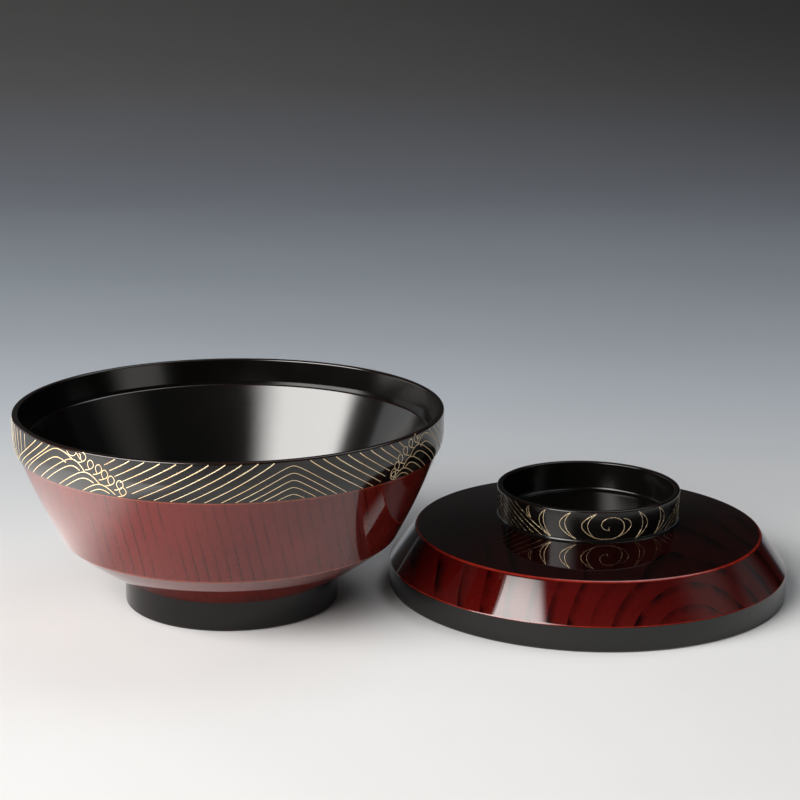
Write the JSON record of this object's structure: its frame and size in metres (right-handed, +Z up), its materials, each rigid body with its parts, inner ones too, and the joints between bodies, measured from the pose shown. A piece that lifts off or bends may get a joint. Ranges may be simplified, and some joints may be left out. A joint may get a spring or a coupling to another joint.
{
  "type": "lacquer soup bowl with lid",
  "caption": "Turned wooden soup bowl on a ring foot, with a stepped rim collar and a ring-knobbed lid lying beside it; the lid lifts off the table and fits the collar.",
  "frame": {"origin": "centre of the bowl's foot, on the table", "axes": "+Z up along the bowl's axis, +X to the right and +Y away as the picture looks at it, so that the lid lies to +X"},
  "size_m": [0.2421, 0.1444, 0.0616],
  "materials": {
    "wood": "turned hardwood, sealed",
    "cloth": "plain weave soaked in lacquer",
    "amber_lacquer": "clear red-brown lacquer, polished, grain showing through",
    "black_lacquer": "black lacquer, polished",
    "gold_line": "gold rubbed into cut lines"
  },
  "bodies": {
    "bowl": {"bowl_core": "wood", "bowl_rim_cloth": "cloth", "bowl_foot_cloth": "cloth", "bowl_inside_coat": "black_lacquer", "bowl_rim_coat": "black_lacquer", "bowl_wall_coat": "amber_lacquer", "bowl_foot_coat": "black_lacquer"},
    "lid": {"lid_core": "wood", "lid_edge_cloth": "cloth", "lid_knob_cloth": "cloth", "lid_inside_coat": "black_lacquer", "lid_edge_coat": "black_lacquer", "lid_top_coat": "amber_lacquer", "lid_knob_coat": "black_lacquer"}
  },
  "joints": [
    {"name": "lid_lift", "type": "slide", "parent": "bowl", "child": "lid", "axis": [0.4956, 0.066, 0.866], "range_m": [0, 0.08]}
  ]
}
